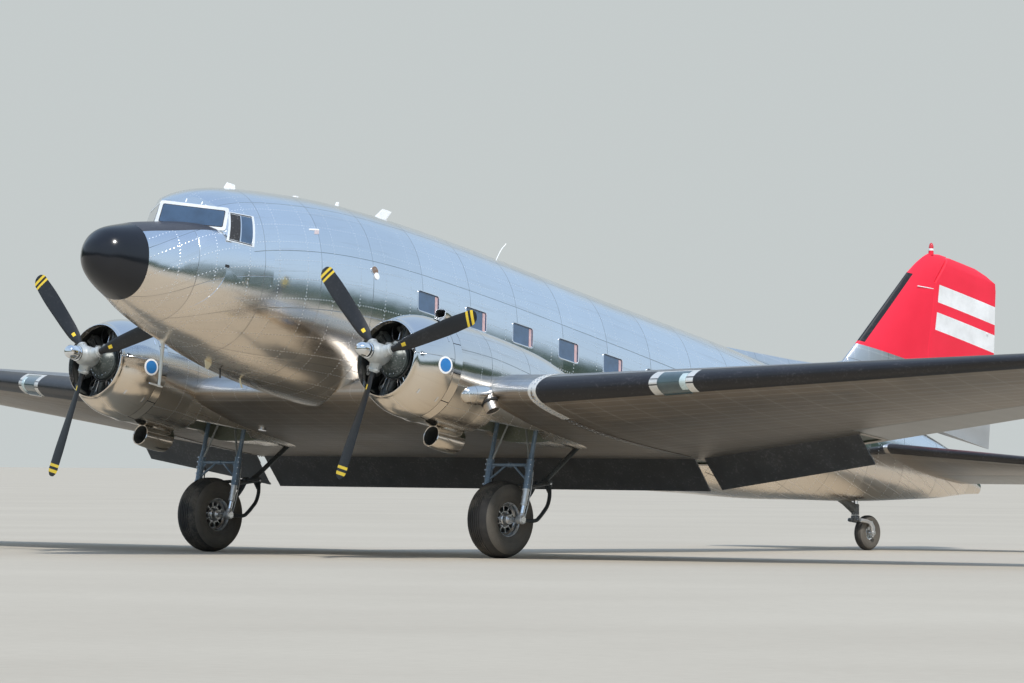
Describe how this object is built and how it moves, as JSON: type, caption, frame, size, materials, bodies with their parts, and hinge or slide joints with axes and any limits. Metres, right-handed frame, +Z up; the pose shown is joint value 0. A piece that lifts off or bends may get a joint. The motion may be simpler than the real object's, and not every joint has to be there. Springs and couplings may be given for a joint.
{
  "type": "twin-engined propeller airliner",
  "caption": "Low-wing propeller airliner on a tail wheel, with turning propellers and wheels, hinged control surfaces and flaps, and an entry door that opens.",
  "frame": {"origin": "on the floor, at the centre of the part's plan outline", "axes": "+X to the left (port) wing tip, +Y aft to the tail, +Z up from the floor"},
  "size_m": [28.96, 19.8475, 5.1177],
  "materials": {
    "skin": "bare polished sheet, brushed by use",
    "red_paint": "gloss",
    "black_paint": "satin",
    "gear_paint": "satin blue grey",
    "engine_metal": "dark and oily",
    "bright_metal": "polished",
    "white_paint": "gloss",
    "tyre": "worn rubber"
  },
  "bodies": {
    "airframe": {"fuselage": "skin", "nose_cone": "black_paint", "fin": "red_paint", "tailplane_left": "skin", "tailplane_right": "skin", "wing_centre": "skin", "wing_left": "skin", "wing_right": "skin", "nacelle_left": "skin", "cowl_left": "skin", "engine_left": "engine_metal", "oil_cooler_left": "skin", "exhaust_left": "engine_metal", "gear_truss_left": "gear_paint", "gear_oleo_left": "gear_paint", "drag_strut_left": "gear_paint", "nacelle_right": "skin", "cowl_right": "skin", "engine_right": "engine_metal", "oil_cooler_right": "skin", "exhaust_right": "engine_metal", "gear_truss_right": "gear_paint", "gear_oleo_right": "gear_paint", "drag_strut_right": "gear_paint", "tail_strut": "gear_paint", "antenna_front": "white_paint", "antenna_rear": "white_paint", "beacon": "red_paint", "airspeed_mast": "bright_metal"},
    "propeller_spin_left": {"propeller_left": "black_paint", "propeller_dome_left": "bright_metal"},
    "propeller_spin_right": {"propeller_right": "black_paint", "propeller_dome_right": "bright_metal"},
    "main_wheel_left": {"tyre_left": "tyre", "wheel_rim_left": "bright_metal"},
    "main_wheel_right": {"tyre_right": "tyre", "wheel_rim_right": "bright_metal"},
    "tail_swivel": {"tail_fork": "gear_paint"},
    "tail_wheel": {"tail_tyre": "tyre", "tail_rim": "bright_metal"},
    "rudder_body": {"rudder": "red_paint"},
    "elevator_body_left": {"elevator_left": "skin"},
    "elevator_body_right": {"elevator_right": "skin"},
    "aileron_body_left": {"aileron_left": "skin"},
    "aileron_body_right": {"aileron_right": "skin"},
    "flap_body_centre": {"flap_centre": "skin"},
    "flap_body_left": {"flap_left": "skin"},
    "flap_body_right": {"flap_right": "skin"},
    "entry_door": {"door_entry": "skin"}
  },
  "joints": [
    {"name": "propeller_left_spin", "type": "hinge", "parent": "airframe", "child": "propeller_spin_left", "pos_m": [2.82, -7.23064, 2.74475], "axis": [0, 0.9796, -0.2011], "continuous": true},
    {"name": "propeller_right_spin", "type": "hinge", "parent": "airframe", "child": "propeller_spin_right", "pos_m": [-2.82, -7.23064, 2.74475], "axis": [0, 0.9796, -0.2011], "continuous": true},
    {"name": "main_wheel_left_spin", "type": "hinge", "parent": "airframe", "child": "main_wheel_left", "pos_m": [2.82, -4.79115, 0.53], "axis": [1, 0, 0], "continuous": true},
    {"name": "main_wheel_right_spin", "type": "hinge", "parent": "airframe", "child": "main_wheel_right", "pos_m": [-2.82, -4.79115, 0.53], "axis": [1, 0, 0], "continuous": true},
    {"name": "tail_swivel_turn", "type": "hinge", "parent": "airframe", "child": "tail_swivel", "pos_m": [0, 6.41968, 0.27], "axis": [0, 0, 1], "continuous": true},
    {"name": "tail_wheel_spin", "type": "hinge", "parent": "tail_swivel", "child": "tail_wheel", "pos_m": [0, 6.71968, 0.27], "axis": [1, 0, 0], "continuous": true},
    {"name": "rudder_hinge", "type": "hinge", "parent": "airframe", "child": "rudder_body", "pos_m": [0, 8.01689, 2.79994], "axis": [0, 0.2011, 0.9796], "range_deg": [-30, 30]},
    {"name": "elevator_left_hinge", "type": "hinge", "parent": "airframe", "child": "elevator_body_left", "pos_m": [0, 7.98549, 1.25449], "axis": [1, 0, 0], "range_deg": [-20, 30]},
    {"name": "elevator_right_hinge", "type": "hinge", "parent": "airframe", "child": "elevator_body_right", "pos_m": [0, 7.98549, 1.25449], "axis": [1, 0, 0], "range_deg": [-20, 30]},
    {"name": "aileron_left_hinge", "type": "hinge", "parent": "airframe", "child": "aileron_body_left", "pos_m": [10.275, -2.1547, 2.25336], "axis": [0.9909, 0.0788, 0.1088], "range_deg": [-18, 27]},
    {"name": "aileron_right_hinge", "type": "hinge", "parent": "airframe", "child": "aileron_body_right", "pos_m": [-10.275, -2.1547, 2.25336], "axis": [0.9909, -0.0788, -0.1088], "range_deg": [-18, 27]},
    {"name": "flap_centre_hinge", "type": "hinge", "parent": "airframe", "child": "flap_body_centre", "pos_m": [0, -2.31221, 1.38847], "axis": [1, 0, 0], "range_deg": [0, 45]},
    {"name": "flap_left_hinge", "type": "hinge", "parent": "airframe", "child": "flap_body_left", "pos_m": [5.68, -2.24786, 1.56989], "axis": [0.9908, 0.0452, 0.1275], "range_deg": [0, 45]},
    {"name": "flap_right_hinge", "type": "hinge", "parent": "airframe", "child": "flap_body_right", "pos_m": [-5.68, -2.24786, 1.56989], "axis": [0.9908, -0.0452, -0.1275], "range_deg": [0, 45]},
    {"name": "entry_door_hinge", "type": "hinge", "parent": "airframe", "child": "entry_door", "pos_m": [1.068, 2.03749, 1.88355], "axis": [0, -0.2011, -0.9796], "range_deg": [0, 95]}
  ],
  "couplings": [
    {"joint": "elevator_right_hinge", "follows": "elevator_left_hinge", "ratio": 1},
    {"joint": "flap_left_hinge", "follows": "flap_centre_hinge", "ratio": 1},
    {"joint": "flap_right_hinge", "follows": "flap_centre_hinge", "ratio": 1}
  ]
}
